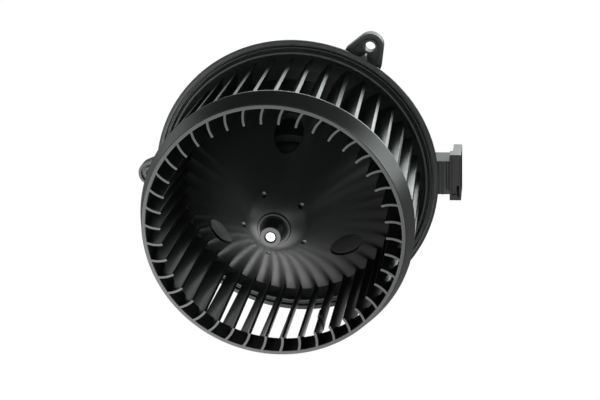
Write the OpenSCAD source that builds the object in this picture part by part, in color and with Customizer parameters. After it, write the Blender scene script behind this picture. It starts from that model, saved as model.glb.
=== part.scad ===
// Cabin blower for a car heating and ventilation unit: a squirrel-cage wheel
// of forward-curved blades on a brushed direct-current motor, in a round
// three-lug mounting flange with a side connector.
//
// Every module is written along the motor axis: local +Z runs from the motor
// to the inlet, and local Z = 0 is the front face of the three lugs, where the
// blower seats against its duct. upright() turns that axis level, so that the
// inlet faces -Y, the connector points to +X and +Z is up.

/* [Wheel] */
// Number of blades
blade_count = 42; // [24:1:48]
// Distance from the lug faces to the front ends of the blades
wheel_front = 100; // [90:1:120]
// Radius of the blades' inner edges
blade_in_r = 63.7; // [60:0.1:66]
// Radius of the blades' outer edges, just behind the inlet ring
blade_out_r = 78.8; // [77:0.1:79.5]
// Radius of the blades' outer edges at their rear tips
blade_tail_r = 77.3; // [75:0.1:78]
// Thickness of one blade
blade_t = 1.4; // [1:0.1:2]
// Camber radius of one blade
camber_r = 16.8; // [15:0.1:20]
// Distance of the camber's centre from the motor axis
camber_centre_r = 66.95; // [65:0.05:69]
// Angle of the first blade's camber centre
camber_start = -7.6; // [-10:0.1:0]
// Outer radius of the inlet ring's front lip
lip_r = 75; // [74:0.1:76]
// Inner radius of the inlet ring
ring_in_r = 72.4; // [72:0.1:73]
// Depth of the inlet ring, front lip to rear edge
ring_depth = 14; // [10:0.5:20]
// Thickness of the ring's walls
ring_wall = 1.6; // [1.2:0.1:2]
// Which blade carries the balance clip, counted from the first
balance_blade = 33; // [0:1:41]
// Distance from the blades' front ends to the balance clip
balance_depth = 21.5; // [10:0.5:40]
// Length of the balance clip along the blade
balance_len = 8.5; // [5:0.5:12]
// Thickness of the balance clip's sheet
balance_sheet = 0.5; // [0.4:0.1:0.8]

/* [Dish] */
// Radius of the dish's rim
dish_r = 67.7; // [66:0.1:69]
// Height of the dish's rim above the lug faces
dish_rim_z = 22; // [20:0.5:26]
// Slope of the conical part of the dish, in degrees from flat
dish_slope = 52.4; // [48:0.1:56]
// Wall thickness of the dish
dish_wall = 2.2; // [1.6:0.1:3]
// Radius where the cone turns into the rounded shoulder
shoulder_r = 20; // [16:0.5:24]
// Radius of curvature of the shoulder
shoulder_curve = 27; // [20:1:35]
// Diameter of each cooling hole
vent_d = 17; // [12:0.5:20]
// Pitch radius of the three cooling holes
vent_pitch_r = 43.8; // [38:0.1:50]
// Angle of the first cooling hole
vent_start = 84.7; // [0:0.1:120]
// Pitch radius of the five gate marks
gate_pitch_r = 18.5; // [14:0.1:24]
// Angle of the first gate mark
gate_start = 37.3; // [0:0.1:72]

/* [Hub] */
// Radius of the hub boss at its tip
hub_tip_r = 6.1; // [5:0.1:7]
// Radius of the hub boss at its root
hub_root_r = 9.65; // [8:0.05:12]
// Height of the hub tip in front of the blades
hub_proud = 5.3; // [3:0.1:8]
// Diameter of the motor shaft
shaft_d = 6; // [5:0.1:8]
// Running gap between the shaft and each bearing, on the radius
bearing_gap = 0.03; // [0.02:0.01:0.08]

/* [Flange] */
// Outer radius of the flange's rim
rim_r = 88; // [87:0.1:90]
// Height of the rim's face above the lug faces
rim_z = 9.1; // [8:0.1:10]
// Inner radius of the bowl's lip
lip_in_r = 80; // [79:0.1:81]
// Radius of the curve from the lip to the bowl's floor
bowl_curve = 14; // [12:0.5:15]
// Wall thickness of the flange moulding
flange_wall = 2.2; // [1.8:0.1:3]
// Radius of the skirt behind the rim
skirt_r = 85.8; // [85.5:0.1:87]
// Depth of the skirt behind the lug faces
skirt_depth = 0.5; // [0.5:0.5:3]

/* [Lugs] */
// Pitch radius of the lug holes
lug_pitch_r = 94.2; // [93:0.1:96]
// Diameter of the lug holes
lug_hole_d = 6.4; // [6:0.1:7]
// Radius of the lug tips
lug_tip_r = 8; // [7.5:0.1:9]
// Half width of a lug at the flange
lug_base_half = 12; // [10:0.5:13]
// Thickness of the lugs
lug_t = 7.5; // [4:0.5:9]
// Depth of the shallow pocket in each lug face
lug_pocket = 1.8; // [0.8:0.1:2]
// Width of the border round that pocket
lug_border = 1.6; // [1.2:0.1:2]

/* [Connector] */
// Width of the connector stem, across the motor axis
stem_w = 21.4; // [20:0.1:24]
// Depth of the stem, along the motor axis
stem_depth = 17.5; // [16:0.5:19]
// Height of the stem's front face above the lug faces
stem_front = 3; // [2:0.5:4]
// Distance from the motor axis to the stem's outer end
stem_end = 94.4; // [93:0.1:96]
// Width of the connector shell
shell_w = 29.2; // [28:0.1:30]
// Depth of the connector shell, along the motor axis
shell_depth = 22; // [20:0.5:24]
// Distance from the motor axis to the shell's mouth
shell_end = 101.4; // [100:0.1:104]

/* [Motor] */
// Outer radius of the motor can
can_r = 30.5; // [29:0.1:31.5]
// Wall thickness of the motor can
can_wall = 1.8; // [1.2:0.1:2.2]
// Height of the motor can's front face
can_front = 58; // [54:0.5:60]
// Height of the motor can's open rear end
can_rear = -12; // [-14:0.5:-10]
// Outer radius of the armature stack
core_r = 21.8; // [20:0.1:22]
// Length of the armature stack
core_len = 34; // [30:1:38]
// Number of armature slots
slot_count = 12; // [8:1:14]
// Inner radius of the field magnets
magnet_in_r = 22.5; // [22.4:0.1:24]
// Angle that each field magnet covers
magnet_span = 132; // [100:1:150]
// Radius of the commutator
commutator_r = 9.5; // [8:0.1:11]
// Outward travel of each brush against its spring
brush_travel = 2; // [1:0.1:2.5]
// Number of turns in each brush spring
spring_turns = 6; // [4:1:8]

/* [Hidden] */
$fn = 96;
eps = 0.01;

// Wheel
blade_pitch = 360 / blade_count;
blade_bead = 0.06;
ring_rear_z = wheel_front - ring_depth;
ring_land = 0.9;
ring_in_depth = 16.6;
ring_front_t = 4;
ring_out_r = blade_out_r;
bore_r = shaft_d / 2;
hub_tip_z = wheel_front + hub_proud;
shaft_tip_z = hub_tip_z - 0.3;
shaft_centre_r = 0.6;

// Dish
rise = tan(dish_slope);
shoulder_z = dish_rim_z + rise * (dish_r - shoulder_r);
shoulder_centre_r = shoulder_r - shoulder_curve * sin(dish_slope);
shoulder_centre_z = shoulder_z - shoulder_curve * cos(dish_slope);
shoulder_low_angle = asin((hub_root_r - shoulder_centre_r) / shoulder_curve);
shoulder_steps = 7;
foot_steps = 4;
foot_in_r = 6.9;
hub_root_z = shoulder_centre_z
    + sqrt(pow(shoulder_curve, 2) - pow(hub_root_r - shoulder_centre_r, 2));
foot_r = hub_root_r - foot_in_r;
hub_foot = [for (i = [0 : foot_steps])
    let (a = 80 * i / foot_steps)
    [hub_root_r - foot_r * cos(a), hub_root_z + 1.1 + foot_r * (1 - sin(a))]];
boss_rear_z = 71;
boss_len = 22;
boss_r = 8.6;
gate_d = 3;
gate_depth = 0.6;
mouth_r = 3.5;
mouth_depth = 1.3;
bush_r = 4.6;
bush_front_z = hub_tip_z - 5;
bush_rear_z = boss_rear_z + 1;
balance_out_r = 72.5;
clip_groove_z = 69.2;
clip_t = 0.6;
clip_groove_depth = 0.3;
clip_r = 6.4;
clip_slot_w = 1.2;
clip_mouth_w = 3.2;
vent_count = 3;
gate_count = 5;

// Flange
lip_top_z = rim_z + 1.6;
bowl_centre_r = lip_in_r - bowl_curve;
bowl_centre_z = lip_top_z;
bowl_floor_z = bowl_centre_z - bowl_curve;
bowl_steps = 8;
cup_in_r = 33.5;
cup_wall = 2.2;
cup_front_z = 30;
cup_rear_z = -14;
cup_lip_r = 31.8;
cup_lip_t = 2;
front_isolator_len = 10;
rear_isolator_len = 8;
ledge_z = 5.4;
ledge_in_r = lip_in_r - 0.2;
ridge_in_r = 82.9;
ridge_out_r = 84;
groove_out_r = 85.3;
groove_z = ledge_z + 0.6;
rim_t = 1.9;
rib_count = 9;
rib_start = 20;
rib_t = 2;
rib_depth = 5;
root_depth = 4;
screw_pitch_r = 41;
screw_boss_r = 4;
screw_hole_r = 1.3;
screw_start = 30;
screw_count = 3;
screw_len = 7;
screw_head_r = 3;
screw_head_t = 2;
screw_slot_w = 0.7;

// Lugs
lug_count = 3;
lug_start = 60;
lug_boss_wall = 1.5;
lug_nub_r = 2.3;
lug_nub_z = rim_z - 0.6;
lug_gusset_y = 6;
lug_gusset_t = 1.6;
lug_base_r = 86;
lug_reach = sqrt(pow(lug_pitch_r - lug_base_r, 2) + pow(lug_base_half, 2));
lug_tangent = atan2(lug_base_half, lug_base_r - lug_pitch_r) - acos(lug_tip_r / lug_reach);

// Connector
stem_wall = 1.7;
stem_rib_x = 90.2;
stem_rib_t = 0.8;
stem_bead_r = 0.9;
stem_bead_x = stem_end - stem_bead_r - 0.3;
stem_bead_top = 10.3;
stem_bead_low = -7.5;
socket_in_x = 90;
shell_wall = 1.9;
shell_panel_depth = 1.1;
shell_step_x = 1.8;
shell_step_z = -5.5;
shell_web = 1.6;
blade_w = 6.3;
blade_thick = 0.8;
terminal_gap = 9;
terminal_z = -7;
terminal_inset = 1.5;
crimp_len = 2.4;
lead_r = 1.2;
lead_z = -10;
lead_start_x = 24;
lead_end_x = 87.4;

// Motor
can_in_r = can_r - can_wall;
can_vent_count = 6;
can_vent_pitch_r = 19;
can_vent_d = 8;
magnet_overhang = 6;
spring_strip_t = 0.7;
retainer_t = 0.5;
core_rear_z = 12;
core_front_z = core_rear_z + core_len;
end_turn = 7;
end_turn_in_r = 4.2;
end_turn_mid_r = 10.8;
end_turn_curve = 8;
washer_r = 5.2;
washer_t = 1;
slinger_r = 8;
bearing_r = 7;
bearing_len = 8;
front_bearing_z = 60.5;
rear_bearing_z = -17;
boss_wall = 1.6;
front_boss_z = 65.5;
commutator_rear_z = -9;
commutator_len = 12;
commutator_gap = 0.6;
commutator_hub_r = 7.4;
shaft_rear_z = -22.5;
brush_w = 5;
brush_axial = 6;
brush_len = 9;
brush_z = -3.5;
brush_contact_gap = 0.1;
brush_side_gap = 0.1;
tube_wall = 0.6;
brush_in_y = commutator_r + brush_contact_gap;
brush_out_y = brush_in_y + brush_len;
tube_in_y = commutator_r + 1.2;
spring_r = 1.9;
spring_wire_r = 0.3;
spring_pressed_len = 5.2;
spring_len = spring_pressed_len + brush_travel;
tube_out_y = brush_out_y + spring_len + tube_wall;
plate_z = -9.2;
plate_t = 1.8;
choke_x = 16;
choke_r = 2;
choke_wire_r = 0.6;
choke_len = 16;
choke_pitch = 1.1;
slot_r = 2.6;
slot_pitch_r = 15.6;
slot_mouth = 1.6;
paper_t = 0.25;
cap_t = 1.6;
cover_rear_z = -28;
cover_r = 45;
cover_wall = 2;
cover_slot_count = 16;
cover_slot_r = 17;
cover_slot_len = 11;
cover_slot_w = 2.5;

// ---------- shared shapes ----------

// Turns a shape from the motor axis' own directions to the part's frame.
module upright() { rotate([90, 0, 0]) children(); }

// Repeats a shape evenly round the motor axis.
module around(count, start = 0) {
    for (i = [0 : count - 1]) rotate([0, 0, start + i * 360 / count]) children();
}

// A tube from z0 to z1.
module tube(outer, inner, z0, z1) {
    translate([0, 0, z0]) difference() {
        cylinder(h = z1 - z0, r = outer);
        translate([0, 0, -1]) cylinder(h = z1 - z0 + 2, r = inner);
    }
}

// A rectangular block given by its lowest and highest corners.
module block(low, high) { translate(low) cube(high - low); }

// ---------- wheel ----------

// Points along the dish's shoulder and cone, "inset" under its outer surface.
function dish_line(inset) = concat(
    [for (i = [0 : shoulder_steps])
        let (a = shoulder_low_angle + (dish_slope - shoulder_low_angle) * i / shoulder_steps)
        [shoulder_centre_r + (shoulder_curve - inset) * sin(a),
         shoulder_centre_z + (shoulder_curve - inset) * cos(a)]],
    [[dish_r - inset * sin(dish_slope), dish_rim_z - inset * cos(dish_slope)]]
);

function reversed(list) = [for (i = [len(list) - 1 : -1 : 0]) list[i]];

// Angle round the camber's centre at which the camber crosses a given radius.
function camber_angle(r) =
    acos((r * r - pow(camber_centre_r, 2) - camber_r * camber_r)
        / (2 * camber_centre_r * camber_r));

// A band along the first blade's camber, "half" thick each way, with a slight
// round bead at its inner end, running out to the radius "reach_r".
module camber_band(half, reach_r) {
    a_in = camber_angle(blade_in_r + blade_t / 2);
    a_out = camber_angle(reach_r);
    far = 3 * camber_r;
    rotate(camber_start) translate([camber_centre_r, 0]) {
        intersection() {
            difference() {
                circle(r = camber_r + half);
                circle(r = camber_r - half);
            }
            polygon([
                [0, 0],
                [far * cos(a_out), far * sin(a_out)],
                [far * cos(a_in), far * sin(a_in)]
            ]);
        }
        translate([camber_r * cos(a_in), camber_r * sin(a_in)])
            circle(r = half + blade_bead, $fn = 24);
    }
}

// The space the blades may fill: the inlet end, the slightly tapered outside
// and the rear edges, which carry on the line of the dish.
module blade_envelope() {
    tail_z = dish_rim_z - rise * (blade_tail_r - dish_r);
    mid_wall = ring_out_r - ring_wall / 2;
    rotate_extrude() polygon([
        [blade_in_r - 1, wheel_front],
        [ring_in_r + 0.5, wheel_front],
        [lip_r - 0.6, wheel_front - 1.6],
        [mid_wall, ring_rear_z + 0.4],
        [blade_out_r, ring_rear_z - ring_land / 2],
        [blade_tail_r, tail_z],
        [dish_r - dish_wall * sin(dish_slope), dish_rim_z - dish_wall * cos(dish_slope)],
        [blade_in_r - 1, dish_rim_z + rise * (dish_r - blade_in_r + 1) - dish_wall / 2]
    ]);
}

// Inlet ring: an inner wall and a flared outer wall that meet at the lip and
// leave a channel between them, open to the rear.
module inlet_ring() {
    ring_in_rear_z = wheel_front - ring_in_depth;
    channel_z = wheel_front - ring_front_t;
    rotate_extrude() polygon([
        [ring_in_r, ring_in_rear_z],
        [ring_in_r, wheel_front - 0.3],
        [ring_in_r + 0.3, wheel_front],
        [lip_r - 0.5, wheel_front],
        [lip_r - 0.1, wheel_front - 0.3],
        [lip_r, wheel_front - 0.9],
        [ring_out_r, ring_rear_z],
        [ring_out_r, ring_rear_z - ring_land],
        [ring_out_r - ring_wall, ring_rear_z - ring_land],
        [lip_r - ring_wall / 2, channel_z],
        [ring_in_r + ring_wall, channel_z],
        [ring_in_r + ring_wall, ring_in_rear_z]
    ]);
}

module dish() {
    difference() {
        rotate_extrude() polygon(concat(
            [[0, shoulder_centre_z + shoulder_curve - dish_wall], [0, hub_tip_z],
             [hub_tip_r - 0.4, hub_tip_z], [hub_tip_r, hub_tip_z - 0.4]],
            hub_foot,
            dish_line(0),
            reversed(dish_line(dish_wall))
        ));
        around(vent_count, vent_start) translate([vent_pitch_r, 0, dish_rim_z])
            cylinder(h = 2 * wheel_front, d = vent_d);
        around(gate_count, gate_start) translate([gate_pitch_r, 0, gate_floor()])
            cylinder(h = wheel_front, d = gate_d, $fn = 24);
    }
    translate([0, 0, boss_rear_z]) cylinder(h = boss_len, r = boss_r);
}

function gate_floor() =
    shoulder_centre_z + sqrt(pow(shoulder_curve, 2)
        - pow(gate_pitch_r + gate_d / 2 - shoulder_centre_r, 2)) - gate_depth;

module blower_wheel() {
    color([0.07, 0.075, 0.08]) upright() difference() {
        union() {
            inlet_ring();
            intersection() {
                translate([0, 0, 1]) linear_extrude(height = wheel_front + 1)
                    around(blade_count) camber_band(blade_t / 2, blade_out_r + 2);
                blade_envelope();
            }
            dish();
        }
        translate([0, 0, boss_rear_z - 1]) cylinder(h = wheel_front, r = bore_r);
        translate([0, 0, hub_tip_z - mouth_depth]) cylinder(h = wheel_front, r = mouth_r);
        translate([0, 0, bush_rear_z - 2]) cylinder(h = bush_front_z - bush_rear_z + 2, r = bush_r);
    }
}

module hub_bush() {
    color([0.75, 0.6, 0.3]) upright() tube(bush_r, bore_r, bush_rear_z - 1, bush_front_z);
}

// Push-on spring clip in the shaft's groove, behind the hub.
module wheel_retaining_clip() {
    color([0.55, 0.56, 0.58]) upright() difference() {
        tube(clip_r, bore_r - clip_groove_depth, clip_groove_z, clip_groove_z + clip_t);
        around(3) block([bore_r + 0.2, -clip_slot_w / 2, clip_groove_z - 1],
            [clip_r - 1.2, clip_slot_w / 2, clip_groove_z + clip_t + 1]);
        block([0, -clip_mouth_w / 2, clip_groove_z - 1],
            [clip_r + 1, clip_mouth_w / 2, clip_groove_z + clip_t + 1]);
    }
}

// Folded steel clip pushed over a blade's inner edge to balance the wheel.
module balance_clip() {
    color([0.35, 0.36, 0.37]) upright() rotate([0, 0, balance_blade * blade_pitch])
        translate([0, 0, wheel_front - balance_depth - balance_len])
            linear_extrude(height = balance_len) difference() {
                camber_band(blade_t / 2 + balance_sheet, balance_out_r);
                camber_band(blade_t / 2, balance_out_r + 1);
            }
}

// ---------- armature ----------

module motor_shaft() {
    chamfer = 0.5;
    color([0.82, 0.83, 0.84]) upright() difference() {
        union() {
            translate([0, 0, shaft_rear_z + chamfer])
                cylinder(h = shaft_tip_z - shaft_rear_z - 2 * chamfer, r = bore_r);
            translate([0, 0, shaft_tip_z - chamfer])
                cylinder(h = chamfer, r1 = bore_r, r2 = bore_r - chamfer);
            translate([0, 0, shaft_rear_z]) cylinder(h = chamfer, r1 = bore_r - chamfer, r2 = bore_r);
        }
        tube(bore_r + 1, bore_r - clip_groove_depth, clip_groove_z, clip_groove_z + clip_t);
        // Centre mark left by turning
        translate([0, 0, shaft_tip_z - shaft_centre_r])
            cylinder(h = 2 * shaft_centre_r, r1 = 0, r2 = 2 * shaft_centre_r, $fn = 32);
    }
}

module slot_outline() {
    translate([slot_pitch_r, 0]) circle(r = slot_r, $fn = 32);
    translate([slot_pitch_r, -slot_mouth / 2]) square([core_r - slot_pitch_r + 1, slot_mouth]);
}

module armature_core() {
    color([0.35, 0.36, 0.38]) upright() difference() {
        tube(core_r, bore_r, core_rear_z, core_front_z);
        around(slot_count) translate([0, 0, core_rear_z - 1])
            linear_extrude(height = core_len + 2) slot_outline();
    }
}

// Paper liner in every slot, round the winding.
module slot_insulators() {
    color([0.85, 0.8, 0.65]) upright() around(slot_count)
        translate([slot_pitch_r, 0, 0]) tube(slot_r, slot_r - paper_t, core_rear_z, core_front_z);
}

module armature_windings() {
    color([0.72, 0.38, 0.18]) upright() {
        around(slot_count) translate([slot_pitch_r, 0, core_rear_z])
            cylinder(h = core_len, r = slot_r - paper_t, $fn = 32);
        for (front = [0, 1]) end_turns(front);
    }
}

// The crossing end of the windings, a rounded ring against the stack.
module end_turns(front) {
    z0 = front == 1 ? core_front_z : core_rear_z - end_turn;
    translate([0, 0, z0]) rotate_extrude() intersection() {
        translate([end_turn_in_r, 0]) square([slot_pitch_r, end_turn]);
        translate([end_turn_mid_r, front == 1 ? 0 : end_turn]) circle(r = end_turn_curve, $fn = 48);
    }
}

module commutator_hub() {
    color([0.25, 0.14, 0.08]) upright()
        tube(commutator_hub_r, bore_r, commutator_rear_z - 0.4,
            commutator_rear_z + commutator_len + 0.6);
}

module commutator_bars() {
    color([0.8, 0.45, 0.25]) upright() difference() {
        tube(commutator_r, commutator_hub_r, commutator_rear_z, commutator_rear_z + commutator_len);
        around(slot_count, 180 / slot_count)
            translate([0, -commutator_gap / 2, commutator_rear_z - 1])
                cube([commutator_r + 1, commutator_gap, commutator_len + 2]);
    }
}

module thrust_washers() {
    color([0.86, 0.86, 0.84]) upright() {
        for (z = [core_front_z + end_turn + 1.2, rear_bearing_z + bearing_len / 2 + 0.4])
            tube(washer_r, bore_r, z, z + washer_t);
    }
}

module oil_slinger() {
    color([0.2, 0.2, 0.22]) upright()
        tube(slinger_r, bore_r, front_boss_z + 0.8, front_boss_z + 1.8);
}

// ---------- flange ----------

function bowl_line(inset) = [for (i = [0 : bowl_steps])
    let (a = 90 * i / bowl_steps)
    [bowl_centre_r + (bowl_curve + inset) * cos(a), bowl_centre_z - (bowl_curve + inset) * sin(a)]];

// Web between the cup and the skirt that follows the back of the bowl.
module floor_rib() {
    low = bowl_floor_z - flange_wall - rib_depth;
    cup_r = cup_in_r + cup_wall / 2;
    out_r = skirt_r - flange_wall / 2;
    rotate([90, 0, 0]) translate([0, 0, -rib_t / 2]) linear_extrude(height = rib_t)
        polygon(concat(
            [[out_r - root_depth, -lug_t], [out_r, 0], [out_r, ledge_z - flange_wall / 2],
             [lip_in_r + flange_wall / 2, ledge_z - flange_wall / 2]],
            bowl_line(flange_wall / 2),
            [[cup_r, bowl_floor_z - flange_wall / 2], [cup_r, low], [cup_r + 10, low]]
        ));
}

module flange_body() {
    rotate_extrude() {
        // Bowl, its lip, and the floor in to the motor cup
        polygon(concat(
            [[lip_in_r + 0.4, lip_top_z + 0.8], [lip_in_r, lip_top_z + 0.4]],
            bowl_line(0),
            [[cup_in_r, bowl_floor_z], [cup_in_r, bowl_floor_z - flange_wall]],
            reversed(bowl_line(flange_wall)),
            [[lip_in_r + flange_wall, rim_z - 0.4], [lip_in_r + 1.5, lip_top_z + 0.5]]
        ));
        // Ledge, ridge and rim outside the lip
        polygon([
            [ledge_in_r, ledge_z - flange_wall],
            [ledge_in_r, ledge_z],
            [ridge_in_r, ledge_z],
            [ridge_in_r, rim_z - 0.6], [ridge_in_r + 0.3, rim_z - 0.3],
            [ridge_out_r - 0.3, rim_z - 0.3], [ridge_out_r, rim_z - 0.6],
            [ridge_out_r, groove_z],
            [groove_out_r, groove_z],
            [groove_out_r, rim_z],
            [rim_r - 1.4, rim_z], [rim_r, rim_z - 0.5],
            [rim_r, rim_z - rim_t], [skirt_r, rim_z - rim_t - 0.3],
            [skirt_r, -skirt_depth], [skirt_r - flange_wall, -skirt_depth],
            [skirt_r - flange_wall, ledge_z - flange_wall]
        ]);
    }
    // Motor cup with an inward lip at its front
    tube(cup_in_r + cup_wall, cup_in_r, cup_rear_z, cup_front_z);
    tube(cup_in_r + 0.5, cup_lip_r, cup_front_z - cup_lip_t, cup_front_z);
    // Stiffening ribs under the floor
    around(rib_count, rib_start) floor_rib();
    around(screw_count, screw_start) translate([screw_pitch_r, 0, cup_rear_z])
        cylinder(h = bowl_floor_z - cup_rear_z - flange_wall / 2, r = screw_boss_r);
}

module lug_outline() {
    tx = lug_pitch_r + lug_tip_r * cos(lug_tangent);
    ty = lug_tip_r * sin(lug_tangent);
    translate([lug_pitch_r, 0]) circle(r = lug_tip_r);
    polygon([[lug_base_r - 3, -lug_base_half], [lug_base_r, -lug_base_half], [tx, -ty],
             [tx, ty], [lug_base_r, lug_base_half], [lug_base_r - 3, lug_base_half]]);
}

module lug_pocket_outline() {
    inner_r = lug_tip_r - lug_border;
    half = lug_base_half - 2.4 * lug_border;
    tx = lug_pitch_r + inner_r * cos(lug_tangent);
    ty = inner_r * sin(lug_tangent);
    difference() {
        union() {
            translate([lug_pitch_r, 0]) circle(r = inner_r);
            polygon([[lug_base_r + lug_border, -half], [tx, -ty],
                     [tx, ty], [lug_base_r + lug_border, half]]);
        }
        translate([lug_pitch_r, 0]) circle(r = lug_hole_d / 2 + lug_boss_wall);
    }
}

// Block behind the ledge that ties a lug or the stem to the flange.
module root_block(half, low) {
    block([skirt_r - 1 - root_depth, -half, low], [skirt_r - 1, half, ledge_z - flange_wall / 2]);
}

module lug() {
    root_block(lug_base_half, -lug_t);
    difference() {
        translate([0, 0, -lug_t]) linear_extrude(height = lug_t) lug_outline();
        translate([0, 0, -lug_pocket]) linear_extrude(height = lug_t) lug_pocket_outline();
    }
    // Half-round nub against the rim, and two gussets behind the lug
    translate([rim_r, 0, -lug_t / 2])
        cylinder(h = lug_t / 2 + lug_nub_z, r = lug_nub_r, $fn = 32);
    for (y = [-lug_gusset_y, lug_gusset_y]) block(
        [skirt_r - 1, y - lug_gusset_t / 2, -lug_t - 3],
        [lug_base_r + 4, y + lug_gusset_t / 2, -lug_t + 0.5]);
}

// Hollow stem on the skirt, with a raised rib and a round bead across its front.
module connector_stem() {
    half = stem_w / 2;
    rear = stem_front - stem_depth;
    difference() {
        union() {
            root_block(half, rear);
            block([skirt_r - flange_wall, -half, rear], [stem_end, half, stem_front]);
            block([stem_rib_x - stem_rib_t / 2, -half, stem_front - 1],
                [stem_rib_x + stem_rib_t / 2, half, stem_front + 0.5]);
            translate([stem_bead_x, stem_bead_top, stem_front]) rotate([90, 0, 0])
                cylinder(h = stem_bead_top - stem_bead_low, r = stem_bead_r, $fn = 32);
        }
        block([socket_in_x, -half + stem_wall, rear + stem_wall],
            [stem_end + 1, half - stem_wall, stem_front - stem_wall]);
        terminal_shapes();
        for (side = [-1, 1]) lead_shape(side, skirt_r - root_depth - 2, lead_end_x);
    }
}

// Two flat blades side by side, each with a barrel where its lead is crimped.
module terminal_shapes() {
    for (side = [-1, 1]) translate([0, side * terminal_gap / 2, 0]) {
        block([lead_end_x, -blade_thick / 2, terminal_z - blade_w / 2],
            [shell_end - terminal_inset, blade_thick / 2, terminal_z + blade_w / 2]);
        block([lead_end_x, -lead_r, lead_z - lead_r],
            [lead_end_x + crimp_len, lead_r, lead_z + lead_r]);
    }
}

// One lead between two distances from the motor axis.
module lead_shape(side, x0, x1) {
    translate([x0, side * terminal_gap / 2, lead_z]) rotate([0, 90, 0])
        cylinder(h = x1 - x0, r = lead_r, $fn = 32);
}

module mounting_flange() {
    color([0.1, 0.105, 0.11]) upright() difference() {
        union() {
            flange_body();
            around(lug_count, lug_start) lug();
            connector_stem();
        }
        around(lug_count, lug_start) translate([lug_pitch_r, 0, -lug_t - 1])
            cylinder(h = lug_t + 2, d = lug_hole_d);
        around(screw_count, screw_start) translate([screw_pitch_r, 0, cup_rear_z - 1])
            cylinder(h = screw_len + 1, r = screw_hole_r, $fn = 32);
        for (side = [-1, 1]) lead_shape(side, cup_in_r - 2, cup_in_r + cup_wall + 2);
    }
}

// Shell on the stem's end that guides the mating plug.
module connector_shell() {
    half = shell_w / 2;
    rear = stem_front - shell_depth;
    inner = stem_w / 2 - stem_wall;
    web_x = stem_end + shell_step_x + shell_web;
    color([0.09, 0.095, 0.1]) upright() difference() {
        union() {
            block([stem_end, -half, shell_step_z], [shell_end, half, stem_front]);
            block([stem_end + shell_step_x, -half, rear], [shell_end, half, shell_step_z + eps]);
        }
        block([web_x, -half + shell_wall, rear + shell_wall],
            [shell_end + 1, half - shell_wall, stem_front - shell_wall]);
        block([stem_end - 1, -inner, stem_front - stem_depth + stem_wall],
            [web_x + 1, inner, stem_front - stem_wall]);
        // Sunk panel in the front face, and the latch slot at its lower end
        block([stem_end + 1.4, -half + 3.6, stem_front - shell_panel_depth],
            [shell_end - 0.6, half - 2.8, stem_front + 1]);
        block([shell_end - 2.6, -half + 2, stem_front - shell_wall - 1],
            [shell_end - 1.4, -half + 9, stem_front + 1]);
    }
}

module terminal_blades() { color([0.8, 0.72, 0.45]) upright() terminal_shapes(); }

module power_leads() {
    for (side = [-1, 1])
        color(side == 1 ? [0.6, 0.1, 0.08] : [0.06, 0.06, 0.06]) upright()
            lead_shape(side, lead_start_x, lead_end_x);
}

// ---------- motor ----------

module motor_can() {
    boss_out = bearing_r + boss_wall;
    face_z = can_front - can_wall;
    color([0.62, 0.63, 0.65]) upright() difference() {
        union() {
            tube(can_r, can_in_r, can_rear, face_z);
            translate([0, 0, face_z]) cylinder(h = can_wall, r1 = can_r, r2 = can_r - 1.2);
            translate([0, 0, face_z]) cylinder(h = front_boss_z - face_z, r = boss_out);
        }
        translate([0, 0, front_bearing_z - bearing_len])
            cylinder(h = 1.5 * bearing_len, r = bearing_r);
        translate([0, 0, front_bearing_z]) cylinder(h = bearing_len, r = bearing_r - 2);
        around(can_vent_count) translate([can_vent_pitch_r, 0, face_z - 1])
            cylinder(h = can_wall + 2, d = can_vent_d);
        for (side = [-1, 1]) lead_shape(side, can_in_r - 2, can_r + 1);
    }
}

// A wedge about +X, "half" degrees wide each way, longer than the can's radius.
module sector(half) {
    far = 3 * can_r;
    polygon([[0, 0], [far * cos(half), -far * sin(half)], [far, 0],
             [far * cos(half), far * sin(half)]]);
}

module field_magnets() {
    half = magnet_span / 2;
    color([0.2, 0.2, 0.21]) upright() around(2)
        translate([0, 0, core_rear_z - magnet_overhang])
        linear_extrude(height = core_len + 2 * magnet_overhang) intersection() {
            difference() {
                circle(r = can_in_r);
                circle(r = magnet_in_r);
            }
            sector(half);
        }
}

// Bent strips that press the two magnets against the can.
module magnet_springs() {
    half = 90 - magnet_span / 2;
    mid = (can_in_r + magnet_in_r) / 2;
    color([0.5, 0.51, 0.53]) upright() around(2, 90) translate([0, 0, core_rear_z])
        linear_extrude(height = core_len) {
            intersection() {
                difference() {
                    circle(r = mid + spring_strip_t / 2);
                    circle(r = mid - spring_strip_t / 2);
                }
                sector(half);
            }
        }
}

module bearing(z) {
    color([0.7, 0.5, 0.28]) upright() translate([0, 0, z]) difference() {
        intersection() {
            sphere(r = bearing_r);
            cylinder(h = bearing_len, r = bearing_r, center = true);
        }
        cylinder(h = 4 * bearing_len, r = bore_r + bearing_gap, center = true);
    }
}

module front_bearing() { bearing(front_bearing_z); }
module rear_bearing() { bearing(rear_bearing_z); }

// Spring washers that press the bearings into their seats.
module bearing_retainers() {
    color([0.66, 0.67, 0.68]) upright() {
        tube(bearing_r, bore_r + 1.6, front_bearing_z - bearing_len / 2 - retainer_t,
            front_bearing_z - bearing_len / 2);
        tube(bearing_r, bore_r + 3.2, rear_bearing_z + bearing_len / 2,
            rear_bearing_z + bearing_len / 2 + retainer_t);
    }
}

module end_cap() {
    boss_z = rear_bearing_z - bearing_len / 2 - 2;
    color([0.6, 0.61, 0.63]) upright() difference() {
        union() {
            tube(can_r, bearing_r, can_rear - cap_t, can_rear);
            tube(bearing_r + boss_wall, bearing_r, boss_z, can_rear - cap_t / 2);
            tube(bearing_r + boss_wall, bore_r + 1, boss_z, rear_bearing_z - bearing_len / 2);
        }
        around(4, 45) translate([can_vent_pitch_r, 0, can_rear - cap_t - 1])
            cylinder(h = cap_t + 2, d = can_vent_d);
    }
}

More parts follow.
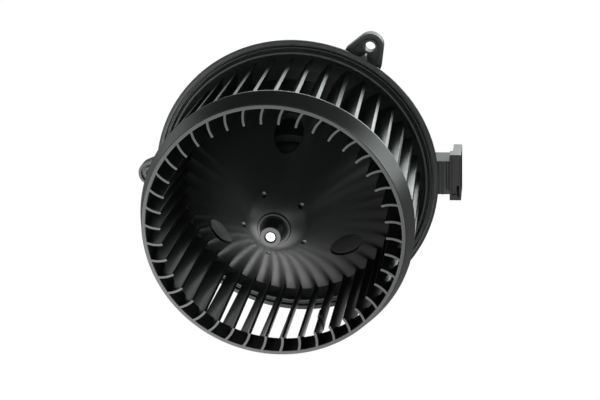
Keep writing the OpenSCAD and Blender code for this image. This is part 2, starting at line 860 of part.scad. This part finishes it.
module brush_plate() {
    color([0.16, 0.13, 0.1]) upright() difference() {
        tube(can_in_r, commutator_r + 1, plate_z - plate_t, plate_z);
        around(4, 45) translate([can_vent_pitch_r + 1, 0, plate_z - plate_t - 1])
            cylinder(h = plate_t + 2, d = can_vent_d - 2);
        for (side = [-1, 1]) lead_shape(side, lead_start_x, can_r);
    }
}

// Open-fronted brass box that guides a brush, standing on the brush plate.
module brush_tube(side) {
    w = brush_w / 2 + brush_side_gap;
    h = brush_axial / 2 + brush_side_gap;
    mirror([0, side < 0 ? 1 : 0, 0]) difference() {
        block([-w - tube_wall, tube_in_y, plate_z], [w + tube_wall, tube_out_y, brush_z + h + tube_wall]);
        block([-w, tube_in_y - 1, brush_z - h], [w, tube_out_y - tube_wall, brush_z + h]);
    }
}

module brush_tubes() {
    color([0.78, 0.63, 0.3]) upright() for (side = [-1, 1]) brush_tube(side);
}

module brush(side) {
    color([0.13, 0.13, 0.14]) upright() mirror([0, side < 0 ? 1 : 0, 0]) difference() {
        block([-brush_w / 2, commutator_r - 0.6, brush_z - brush_axial / 2],
            [brush_w / 2, brush_out_y, brush_z + brush_axial / 2]);
        translate([0, 0, brush_z - brush_axial]) cylinder(h = 2 * brush_axial, r = brush_in_y);
    }
}

module upper_brush() { brush(1); }
module lower_brush() { brush(-1); }

// Coil spring from the brush to the closed end of its tube.
function coil_point(t, turns, length) =
    [spring_r * cos(360 * turns * t), spring_r * sin(360 * turns * t),
     spring_wire_r + (length - 2 * spring_wire_r) * t];

module coil(turns, length) {
    steps = 16 * turns;
    sides = 6;
    points = [for (i = [0 : steps]) for (j = [0 : sides - 1])
        let (t = i / steps, p = coil_point(t, turns, length), a = 360 * turns * t,
             b = 360 * j / sides)
        [p[0] + spring_wire_r * cos(b) * cos(a), p[1] + spring_wire_r * cos(b) * sin(a),
         p[2] + spring_wire_r * sin(b)]];
    walls = [for (i = [0 : steps - 1]) for (j = [0 : sides - 1])
        let (k = (j + 1) % sides)
        [i * sides + j, (i + 1) * sides + j, (i + 1) * sides + k, i * sides + k]];
    ends = [[for (j = [0 : sides - 1]) j], [for (j = [sides - 1 : -1 : 0]) steps * sides + j]];
    polyhedron(points = points, faces = concat(walls, ends));
}

module brush_spring(side) {
    color([0.7, 0.71, 0.73]) upright() mirror([0, side < 0 ? 1 : 0, 0])
        translate([0, brush_out_y, brush_z]) rotate([-90, 0, 0]) coil(spring_turns, spring_len);
}

module upper_brush_spring() { brush_spring(1); }
module lower_brush_spring() { brush_spring(-1); }

// Suppression chokes: a ferrite rod in a copper winding, beside each brush.
module choke_coils() {
    color([0.7, 0.4, 0.2]) upright() for (side = [-1, 1])
        translate([side * choke_x, 0, plate_z + choke_r + choke_wire_r]) rotate([90, 0, 0]) {
            cylinder(h = choke_len, r = choke_r - choke_wire_r + 0.1, center = true, $fn = 32);
            for (i = [-5 : 5]) translate([0, 0, i * choke_pitch]) rotate_extrude()
                translate([choke_r, 0]) circle(r = choke_wire_r, $fn = 16);
        }
}

// Rubber rings that hold the can in the flange's cup.
module isolator(z0, z1) {
    color([0.05, 0.05, 0.05]) upright() tube(cup_in_r, can_r, z0, z1);
}

module front_isolator() { isolator(cup_front_z - cup_lip_t - front_isolator_len, cup_front_z - cup_lip_t); }
module rear_isolator() { isolator(bowl_floor_z + 2, bowl_floor_z + 2 + rear_isolator_len); }

// Cap over the back of the motor, with a ring of breathing slots.
module rear_cover() {
    color([0.11, 0.115, 0.12]) upright() difference() {
        union() {
            tube(cover_r, cup_in_r + 0.5, cup_rear_z - cover_wall, cup_rear_z);
            tube(cup_in_r + cup_wall, cup_in_r, cover_rear_z, cup_rear_z);
            translate([0, 0, cover_rear_z]) cylinder(h = cover_wall, r = cup_in_r + cup_wall);
        }
        around(cover_slot_count) translate([cover_slot_r, -cover_slot_w / 2, cover_rear_z - 1])
            cube([cover_slot_len, cover_slot_w, cover_wall + 2]);
        around(screw_count, screw_start) translate([screw_pitch_r, 0, cup_rear_z - cover_wall - 1])
            cylinder(h = cover_wall + 2, r = screw_hole_r + 0.4, $fn = 32);
    }
}

module cover_screws() {
    head_z = cup_rear_z - cover_wall;
    color([0.5, 0.5, 0.52]) upright() around(screw_count, screw_start)
        translate([screw_pitch_r, 0, head_z]) difference() {
            union() {
                cylinder(h = screw_len, r = screw_hole_r, $fn = 32);
                translate([0, 0, -screw_head_t]) cylinder(h = screw_head_t, r = screw_head_r, $fn = 48);
            }
            for (turn = [0, 90]) rotate([0, 0, turn])
                block([-1.9, -screw_slot_w / 2, -screw_head_t - 1],
                    [1.9, screw_slot_w / 2, -screw_head_t / 2]);
        }
}

blower_wheel();
hub_bush();
wheel_retaining_clip();
balance_clip();
motor_shaft();
armature_core();
armature_windings();
slot_insulators();
commutator_hub();
commutator_bars();
thrust_washers();
oil_slinger();
mounting_flange();
connector_shell();
terminal_blades();
power_leads();
motor_can();
field_magnets();
magnet_springs();
front_bearing();
rear_bearing();
bearing_retainers();
end_cap();
brush_plate();
brush_tubes();
upper_brush();
lower_brush();
upper_brush_spring();
lower_brush_spring();
choke_coils();
front_isolator();
rear_isolator();
rear_cover();
cover_screws();
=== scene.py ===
import math

import bpy
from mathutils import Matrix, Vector


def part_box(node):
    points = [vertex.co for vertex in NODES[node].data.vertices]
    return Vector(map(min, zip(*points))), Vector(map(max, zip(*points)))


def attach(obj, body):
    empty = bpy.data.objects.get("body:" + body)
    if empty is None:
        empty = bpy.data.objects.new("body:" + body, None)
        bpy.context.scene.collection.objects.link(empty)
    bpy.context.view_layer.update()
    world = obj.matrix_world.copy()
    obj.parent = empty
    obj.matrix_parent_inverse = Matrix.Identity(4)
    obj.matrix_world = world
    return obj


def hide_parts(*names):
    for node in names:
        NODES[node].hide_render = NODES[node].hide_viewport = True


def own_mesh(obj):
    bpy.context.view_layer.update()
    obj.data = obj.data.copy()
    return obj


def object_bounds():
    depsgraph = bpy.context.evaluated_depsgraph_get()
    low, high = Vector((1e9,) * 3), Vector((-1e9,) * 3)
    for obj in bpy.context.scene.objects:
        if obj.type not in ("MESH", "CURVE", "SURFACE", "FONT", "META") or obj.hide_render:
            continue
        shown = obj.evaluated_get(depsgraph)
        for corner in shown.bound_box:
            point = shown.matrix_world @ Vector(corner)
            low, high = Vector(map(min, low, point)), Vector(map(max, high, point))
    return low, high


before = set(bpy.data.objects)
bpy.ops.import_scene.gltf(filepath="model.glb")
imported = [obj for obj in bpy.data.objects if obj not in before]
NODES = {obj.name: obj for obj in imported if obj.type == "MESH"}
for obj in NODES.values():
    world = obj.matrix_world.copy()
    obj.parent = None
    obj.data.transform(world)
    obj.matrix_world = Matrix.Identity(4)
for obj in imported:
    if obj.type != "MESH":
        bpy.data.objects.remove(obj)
cad_low, cad_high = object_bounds()

MM = 0.001


# ---------- node helpers ----------

class Nodes:
    """The node tree of a material or the world, with a short call for each kind of node used."""

    def __init__(self, owner):
        owner.use_nodes = True
        self.tree = owner.node_tree
        self.tree.nodes.clear()

    def new(self, kind, **settings):
        node = self.tree.nodes.new("ShaderNode" + kind)
        for name, value in settings.items():
            setattr(node, name, value)
        return node

    def put(self, socket, value):
        """Links a node's output to the socket, or sets it to a plain value."""
        if isinstance(value, bpy.types.NodeSocket):
            self.tree.links.new(value, socket)
        elif socket.type == "RGBA":
            socket.default_value = (*value, 1.0)
        else:
            socket.default_value = value

    def fill(self, node, **values):
        """Puts several of a node's inputs, each named with _ for a space."""
        for name, value in values.items():
            self.put(node.inputs[name.replace("_", " ")], value)

    def math(self, operation, a, b=0.0):
        node = self.new("Math", operation=operation)
        self.put(node.inputs[0], a)
        self.put(node.inputs[1], b)
        return node.outputs[0]

    def total(self, *values):
        whole = values[0]
        for value in values[1:]:
            whole = self.math("ADD", whole, value)
        return whole

    def ranged(self, value, low, high, to_low, to_high, curve="LINEAR"):
        node = self.new("MapRange", interpolation_type=curve)
        self.fill(node, Value=value, From_Min=low, From_Max=high, To_Min=to_low, To_Max=to_high)
        return node.outputs["Result"]

    def split(self, vector):
        node = self.new("SeparateXYZ")
        self.put(node.inputs[0], vector)
        return node.outputs

    def seen_by_camera(self):
        """1 for the camera's own rays, and 0 for the rays that light the object."""
        return self.new("LightPath").outputs["Is Camera Ray"]


class Surface(Nodes):
    """A material's node tree: textures in the object's own place feed one Principled shader."""

    def __init__(self, name):
        self.mat = bpy.data.materials.new(name)
        super().__init__(self.mat)
        self.shader = self.new("BsdfPrincipled")
        self.put(self.new("OutputMaterial").inputs["Surface"], self.shader.outputs["BSDF"])
        self.place = self.new("TexCoord").outputs["Object"]

    def noise(self, scale, detail=3.0, rough=0.55, place=None):
        node = self.new("TexNoise")
        self.fill(node, Scale=scale, Detail=detail, Roughness=rough, Vector=place or self.place)
        return node.outputs["Fac"]

    def cells(self, scale):
        node = self.new("TexVoronoi")
        self.fill(node, Scale=scale, Vector=self.place)
        return node.outputs["Distance"]

    def waves(self, value, pitch):
        """A round-topped ridge at every pitch along a distance, 0 in the groove and 1 on top."""
        return self.math("ABSOLUTE", self.math("SINE", self.math("MULTIPLY", value, math.pi / pitch)))

    def stretched(self, factors):
        """The place scaled differently along each axis, for marks that run one way."""
        node = self.new("Mapping")
        self.fill(node, Scale=factors, Vector=self.place)
        return node.outputs["Vector"]

    def mixed(self, factor, a, b):
        node = self.new("Mix", data_type="RGBA")
        self.fill(node, Factor=factor, A=a, B=b)
        return node.outputs["Result"]

    def bevel(self, radius):
        node = self.new("Bevel", samples=6)
        self.fill(node, Radius=radius)
        return node.outputs["Normal"]

    def bump(self, height, depth, normal=None, strength=1.0):
        node = self.new("Bump")
        self.fill(node, Strength=strength, Distance=depth, Height=height)
        if normal is not None:
            self.fill(node, Normal=normal)
        return node.outputs["Normal"]

    def radius_and_depth(self):
        """Distance from the motor axis, and place along it."""
        x, y, z = self.split(self.place)
        radius = self.math("SQRT", self.math("ADD", self.math("MULTIPLY", x, x),
                                             self.math("MULTIPLY", z, z)))
        return radius, y


def dress(material, *names):
    """Gives CAD nodes a material through their objects' slots; the meshes stay as packed."""
    for name in names:
        for slot in NODES[name].material_slots:
            slot.link = "OBJECT"
            slot.material = material


# ---------- materials ----------

# Noise values lie mostly between these two
LOW, HIGH = 0.3, 0.7


def moulded(name, base, dusty, rough, grain, edge, spec=0.5):
    """Black moulded plastic: fine spark-eroded grain, a thin dusty film, uneven gloss, soft edges."""
    g = Surface(name)
    cloud = g.noise(38.0, 4.0)
    film = g.noise(90.0, 2.0, 0.5)
    dust = g.ranged(g.math("MULTIPLY", cloud, film), 0.10, 0.45, 0.0, 1.0)
    gloss = g.total(g.ranged(cloud, LOW, HIGH, -0.02, 0.02),
                    g.ranged(film, LOW, HIGH, -0.012, 0.02), rough)
    eroded = g.noise(2600.0, 2.0, 0.6)
    g.fill(g.shader, Base_Color=g.mixed(dust, base, dusty), Roughness=gloss,
           Specular_IOR_Level=spec, Normal=g.bump(eroded, grain, g.bevel(edge), 0.55))
    return g.mat


def metal(name, base, dark, rough, lines=(900.0, 900.0, 900.0), depth=0.004 * MM):
    """Bare or plated metal: directional machining lines, blotchy tone and worn gloss."""
    g = Surface(name)
    grind = g.noise(1.0, 3.0, 0.6, g.stretched(lines))
    blotch = g.noise(120.0, 5.0, 0.6)
    stain = g.ranged(blotch, 0.35, 0.72, 0.0, 0.5)
    gloss = g.total(g.ranged(grind, LOW, HIGH, rough - 0.07, rough + 0.08),
                    g.ranged(blotch, LOW, HIGH, -0.04, 0.06))
    g.fill(g.shader, Metallic=1.0, Base_Color=g.mixed(stain, base, dark), Roughness=gloss,
           Normal=g.bump(grind, depth, g.bevel(0.15 * MM), 0.7))
    return g.mat


def wound(name, base, dark, wire):
    """Enamelled wire laid side by side: round strands across the radius, some lying out of line, with
    painted shade in the grooves between strands.
    """
    g = Surface(name)
    radius, along = g.radius_and_depth()
    wander = g.math("MULTIPLY", g.noise(170.0, 2.0), 3.0 * wire)
    strand = g.waves(g.total(radius, along, wander), wire)
    # Painted shade: the colour darkens into the groove between strands, with a random tone along the
    # crests
    tone = g.math("MULTIPLY", strand, g.ranged(g.noise(420.0, 3.0), LOW, HIGH, 0.55, 1.0))
    g.fill(g.shader, Metallic=0.85, Coat_Weight=0.6, Coat_Roughness=0.16,
           Base_Color=g.mixed(tone, dark, base), Roughness=g.ranged(strand, 0.0, 1.0, 0.45, 0.26),
           Normal=g.bump(strand, 0.35 * wire))
    return g.mat


def stacked(name, base, dark, sheet):
    """Punched electrical sheets in a stack: a fine line at each sheet's edge, under thin lacquer."""
    g = Surface(name)
    edges = g.waves(g.split(g.place)["Y"], sheet)
    blotch = g.noise(150.0, 4.0)
    tone = g.math("MULTIPLY", edges, g.ranged(blotch, LOW, HIGH, 0.5, 1.0))
    g.fill(g.shader, Metallic=0.9, Base_Color=g.mixed(tone, dark, base),
           Roughness=g.ranged(blotch, LOW, HIGH, 0.34, 0.5),
           Normal=g.bump(edges, 0.2 * sheet, g.bevel(0.1 * MM)))
    return g.mat


def grainy(name, base, dark, rough, scale, depth, pits=0.0, metallic=0.0, spec=0.4,
           fibres=(1.0, 1.0, 1.0)):
    """Pressed, sintered or fibrous stuff: a speckle at one scale, and open pores where asked."""
    g = Surface(name)
    speckle = g.noise(scale, 4.0, 0.7, g.stretched(fibres))
    cloud = g.noise(70.0, 3.0)
    tone = g.math("MULTIPLY", g.ranged(speckle, 0.34, 0.66, 0.0, 1.0),
                  g.ranged(cloud, LOW, HIGH, 0.5, 1.0))
    normal = g.bump(speckle, depth, g.bevel(0.2 * MM), 0.7)
    if pits:
        pores = g.ranged(g.cells(pits), 0.0, 0.35, 0.0, 1.0)
        normal = g.bump(pores, 2.0 * depth, normal, 0.8)
    g.fill(g.shader, Metallic=metallic, Specular_IOR_Level=spec,
           Base_Color=g.mixed(tone, base, dark),
           Roughness=g.ranged(cloud, LOW, HIGH, rough - 0.06, rough + 0.08), Normal=normal)
    return g.mat


def bar_copper():
    """Turned copper bars with the dark, finely scored track that the brushes leave."""
    g = Surface("bar_copper")
    low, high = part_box("upper_brush")
    along = g.split(g.place)["Y"]
    soft = 0.3 * MM
    track = g.math("MULTIPLY", g.ranged(along, low.y - soft, low.y + soft, 0.0, 1.0),
                   g.ranged(along, high.y - soft, high.y + soft, 1.0, 0.0))
    film = g.math("MULTIPLY", track, g.ranged(g.noise(300.0, 4.0), LOW, HIGH, 0.6, 1.0))
    scores = g.noise(1.0, 3.0, 0.6, g.stretched((60.0, 5200.0, 60.0)))
    gloss = g.total(g.ranged(scores, LOW, HIGH, 0.20, 0.34), g.math("MULTIPLY", film, 0.12))
    g.fill(g.shader, Metallic=1.0, Roughness=gloss,
           Base_Color=g.mixed(film, (0.72, 0.36, 0.20), (0.20, 0.095, 0.055)),
           Normal=g.bump(scores, 0.006 * MM, g.bevel(0.12 * MM), 0.8))
    return g.mat


def lead_cover():
    """PVC-covered leads: the one above the axis red, the one below it black, faintly ribbed."""
    g = Surface("lead_cover")
    upper = g.ranged(g.split(g.place)["Z"], -0.1 * MM, 0.1 * MM, 0.0, 1.0)
    scuff = g.noise(240.0, 4.0, 0.65)
    red = g.mixed(scuff, (0.36, 0.022, 0.016), (0.28, 0.018, 0.014))
    black = g.mixed(scuff, (0.012, 0.012, 0.012), (0.022, 0.022, 0.022))
    ribs = g.noise(1.0, 2.0, 0.5, g.stretched((900.0, 160.0, 160.0)))
    g.fill(g.shader, Base_Color=g.mixed(upper, black, red),
           Roughness=g.ranged(scuff, LOW, HIGH, 0.36, 0.5),
           Normal=g.bump(ribs, 0.02 * MM, strength=0.5))
    return g.mat


def cast_nylon(name, base, shade):
    """Natural nylon: slightly cloudy and waxy, with light passing a little way in."""
    g = Surface(name)
    cloud = g.noise(210.0, 4.0)
    g.fill(g.shader, Subsurface_Weight=0.25, Subsurface_Scale=1.0 * MM,
           Base_Color=g.mixed(cloud, base, shade),
           Roughness=g.ranged(cloud, LOW, HIGH, 0.36, 0.5),
           Normal=g.bump(g.noise(1500.0, 2.0), 0.006 * MM, g.bevel(0.2 * MM), 0.6))
    return g.mat


# The wheel's roughness stays above 0.27: where it crosses that, denoising leaves blotches
wheel_plastic = moulded("wheel_plastic", (0.0095, 0.0100, 0.0104), (0.0108, 0.0114, 0.0118),
                        rough=0.315, grain=0.0008 * MM, edge=0.28 * MM)
flange_plastic = moulded("flange_plastic", (0.0340, 0.0352, 0.0360), (0.0390, 0.0404, 0.0413),
                         rough=0.46, grain=0.005 * MM, edge=0.60 * MM)
connector_plastic = moulded("connector_plastic", (0.0085, 0.0090, 0.0094),
                            (0.0100, 0.0106, 0.0110), rough=0.33, grain=0.004 * MM,
                            edge=0.35 * MM, spec=0.32)
shaft_steel = metal("shaft_steel", (0.62, 0.61, 0.60), (0.42, 0.41, 0.40), rough=0.24,
                    lines=(1400.0, 300.0, 1400.0))
spring_steel = metal("spring_steel", (0.10, 0.10, 0.105), (0.05, 0.05, 0.052), rough=0.34,
                     lines=(500.0, 1800.0, 500.0))
can_steel = metal("can_steel", (0.40, 0.41, 0.42), (0.26, 0.265, 0.27), rough=0.36,
                  lines=(240.0, 1500.0, 240.0))
screw_steel = metal("screw_steel", (0.50, 0.50, 0.51), (0.30, 0.30, 0.30), rough=0.30)
turned_brass = metal("turned_brass", (0.62, 0.44, 0.17), (0.42, 0.28, 0.11), rough=0.26,
                     lines=(300.0, 2400.0, 300.0), depth=0.006 * MM)
sheet_brass = metal("sheet_brass", (0.60, 0.43, 0.18), (0.40, 0.27, 0.12), rough=0.32,
                    lines=(220.0, 220.0, 1600.0))
tin_plate = metal("tin_plate", (0.55, 0.55, 0.54), (0.38, 0.38, 0.37), rough=0.30,
                  lines=(1600.0, 260.0, 260.0))
enamelled_wire = wound("enamelled_wire", (0.62, 0.22, 0.08), (0.22, 0.06, 0.02), wire=0.55 * MM)
lamination_steel = stacked("lamination_steel", (0.34, 0.34, 0.35), (0.12, 0.12, 0.125),
                           sheet=0.5 * MM)
ferrite = grainy("ferrite", (0.045, 0.045, 0.048), (0.022, 0.022, 0.023), rough=0.62,
                 scale=1500.0, depth=0.012 * MM, pits=420.0)
carbon = grainy("carbon", (0.030, 0.030, 0.032), (0.012, 0.012, 0.013), rough=0.50,
                scale=2600.0, depth=0.010 * MM, pits=900.0, spec=0.7)
sintered_bronze = grainy("sintered_bronze", (0.46, 0.27, 0.12), (0.20, 0.11, 0.05), rough=0.42,
                         scale=1900.0, depth=0.012 * MM, pits=1300.0, metallic=0.9)
phenolic = grainy("phenolic", (0.075, 0.036, 0.016), (0.040, 0.018, 0.008), rough=0.44,
                  scale=900.0, depth=0.008 * MM, fibres=(1.0, 1.0, 0.35))
slot_paper = grainy("slot_paper", (0.58, 0.48, 0.30), (0.44, 0.35, 0.20), rough=0.72,
                    scale=620.0, depth=0.014 * MM, fibres=(1.0, 0.2, 1.0), spec=0.25)
rubber = grainy("rubber", (0.010, 0.010, 0.010), (0.018, 0.018, 0.018), rough=0.66,
                scale=1100.0, depth=0.012 * MM, spec=0.3)
natural_nylon = cast_nylon("natural_nylon", (0.72, 0.70, 0.62), (0.62, 0.60, 0.52))
black_nylon = cast_nylon("black_nylon", (0.030, 0.030, 0.033), (0.022, 0.022, 0.024))

DRESSED = {
    wheel_plastic: ("blower_wheel",),
    flange_plastic: ("mounting_flange", "rear_cover"),
    connector_plastic: ("connector_shell",),
    shaft_steel: ("motor_shaft",),
    spring_steel: ("balance_clip", "wheel_retaining_clip", "magnet_springs", "bearing_retainers",
                   "upper_brush_spring", "lower_brush_spring"),
    can_steel: ("motor_can", "end_cap"),
    screw_steel: ("cover_screws",),
    turned_brass: ("hub_bush",),
    sheet_brass: ("brush_tubes",),
    tin_plate: ("terminal_blades",),
    enamelled_wire: ("armature_windings", "choke_coils"),
    lamination_steel: ("armature_core",),
    bar_copper(): ("commutator_bars",),
    ferrite: ("field_magnets",),
    carbon: ("upper_brush", "lower_brush"),
    sintered_bronze: ("front_bearing", "rear_bearing"),
    phenolic: ("commutator_hub", "brush_plate"),
    slot_paper: ("slot_insulators",),
    rubber: ("front_isolator", "rear_isolator"),
    natural_nylon: ("thrust_washers",),
    black_nylon: ("oil_slinger",),
    lead_cover(): ("power_leads",),
}
for material, names in DRESSED.items():
    dress(material, *names)


# ---------- brush springs ----------

def pressed_spring(name):
    """Stands in for a CAD spring."""
    mesh = NODES[name].data.copy()
    mesh.materials.clear()
    mesh.materials.append(spring_steel)
    piece = bpy.data.objects.new("pressed_" + name, mesh)
    bpy.context.scene.collection.objects.link(piece)
    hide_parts(name)
    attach(piece, "housing")
    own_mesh(piece)


pressed_spring("upper_brush_spring")
pressed_spring("lower_brush_spring")


# ---------- studio ----------

# Bright wall panels: bearing, half width and soft edge, top and fade above it (degrees), strength.
# Bearing 0 is towards -Y and 90 towards +X.
WALLS = (
    (0, 34, 14, 18, 14, 1.25),
    (-80, 28, 14, 20, 12, 0.5),
    (163, 28, 10, 19, 7, 4.1),
    (90, 179, 1, 13, 9, 0.60),
)
CEILING_STRENGTH = 0.05
BACKDROP_STRENGTH = 1.15

# Pools of lamplight painted on the table as glow: centre x and y, full out to, faded by (metres),
# strength
POOLS = (
    (-0.10, -0.21, 0.08, 0.26, 4.8),
    (-0.16, -0.62, 0.22, 0.50, 3.0),
)
# Painted glow over the whole table, for the rays that light the object
TABLE_GLOW = 0.20
TABLE_SEEN = 0.98
TABLE_HALF_WIDTH = 6.0
TABLE_GAP = 0.5 * MM


class Room(Nodes):
    """The studio as its light falls on the object: soft bright panels on dim walls."""

    def __init__(self, name):
        self.world = bpy.data.worlds.new(name)
        super().__init__(self.world)
        self.back = self.new("Background")
        self.fill(self.back, Color=(0.94, 1.0, 0.985))
        self.put(self.new("OutputWorld").inputs["Surface"], self.back.outputs["Background"])
        x, y, self.height = self.split(self.new("TexCoord").outputs["Generated"])
        flat = self.new("CombineXYZ")
        self.fill(flat, X=x, Y=y)
        level = self.new("VectorMath", operation="NORMALIZE")
        self.put(level.inputs[0], flat.outputs[0])
        self.bearing = level.outputs["Vector"]

    def wall(self, bearing, half, soft, top, fade, strength):
        """The strength of one bright panel, soft at both sides and at its top."""
        turn = math.radians(bearing)
        dot = self.new("VectorMath", operation="DOT_PRODUCT")
        self.put(dot.inputs[0], self.bearing)
        self.put(dot.inputs[1], (math.sin(turn), -math.cos(turn), 0.0))
        across = self.ranged(dot.outputs["Value"], math.cos(math.radians(half + soft)),
                             math.cos(math.radians(half - soft)), 0.0, 1.0, "SMOOTHSTEP")
        up = self.ranged(self.height, math.sin(math.radians(top)),
                         math.sin(math.radians(top + fade)), strength, 0.0, "SMOOTHSTEP")
        return self.math("MULTIPLY", across, up)

    def shine(self):
        """The camera sees an even white backdrop, and every other ray sees the walls."""
        walls = self.total(CEILING_STRENGTH, *(self.wall(*row) for row in WALLS))
        seen = self.seen_by_camera()
        self.fill(self.back, Strength=self.total(
            self.math("MULTIPLY", seen, BACKDROP_STRENGTH),
            self.math("MULTIPLY", self.math("SUBTRACT", 1.0, seen), walls)))


def softbox(name, place, aim, width, depth, radiance):
    """A soft rectangular lamp, given the brightness of its face."""
    data = bpy.data.lights.new(name, "AREA")
    data.shape = "RECTANGLE"
    data.size, data.size_y = width, depth
    data.energy = radiance * math.pi * width * depth
    lamp = bpy.data.objects.new(name, data)
    lamp.location = place
    lamp.rotation_euler = (Vector(aim) - Vector(place)).to_track_quat("-Z", "Y").to_euler()
    lamp.visible_camera = False
    bpy.context.scene.collection.objects.link(lamp)


def table_acrylic(level):
    """Matt white as the camera sees it, and glowing in painted pools of light in front as the object
    mirrors it.
    """
    g = Surface("table_acrylic")
    glow = TABLE_GLOW
    # Painted light: each pool is the table's own glow, no lamp shines there
    for x, y, core, faded, strength in POOLS:
        away = g.new("VectorMath", operation="DISTANCE")
        g.put(away.inputs[0], g.place)
        g.put(away.inputs[1], (x, y, level))
        pool = g.ranged(away.outputs["Value"], core, faded, strength, 0.0, "SMOOTHSTEP")
        glow = g.total(pool, glow)
    seen = g.seen_by_camera()
    g.fill(g.shader, Base_Color=(0.10, 0.10, 0.10), Roughness=0.8, Specular_IOR_Level=0.0,
           Emission_Color=(1.0, 1.0, 1.0), Emission_Strength=g.total(
               g.math("MULTIPLY", seen, TABLE_SEEN),
               g.math("MULTIPLY", g.math("SUBTRACT", 1.0, seen), glow)))
    return g.mat


def table():
    """A wide table just under the object."""
    half, level = TABLE_HALF_WIDTH, cad_low[2] - TABLE_GAP
    mesh = bpy.data.meshes.new("table")
    mesh.from_pydata([(-half, -half, level), (half, -half, level), (half, half, level),
                      (-half, half, level)], [], [(0, 1, 2, 3)])
    mesh.materials.append(table_acrylic(level))
    top = bpy.data.objects.new("table", mesh)
    bpy.context.scene.collection.objects.link(top)


def camera():
    """The photograph's view, worked out from the ring of evenly spaced blade tips."""
    data = bpy.data.cameras.new("view")
    data.lens = 83.635
    data.sensor_width = 36.0
    data.clip_start = 0.01
    data.clip_end = 50.0
    cam = bpy.data.objects.new("view", data)
    cam.location = (0.12974, -0.81243, 0.28301)
    cam.rotation_euler = [math.radians(a) for a in (69.966, 2.299, 8.184)]
    bpy.context.scene.collection.objects.link(cam)
    bpy.context.scene.camera = cam


bpy.context.scene.view_settings.view_transform = "Standard"
room = Room("studio_room")
room.shine()
bpy.context.scene.world = room.world
softbox("overhead", place=(0.30, 0.12, 1.1), aim=(0.0, -0.05, 0.0), width=0.7, depth=0.45,
        radiance=0.4)
table()
camera()
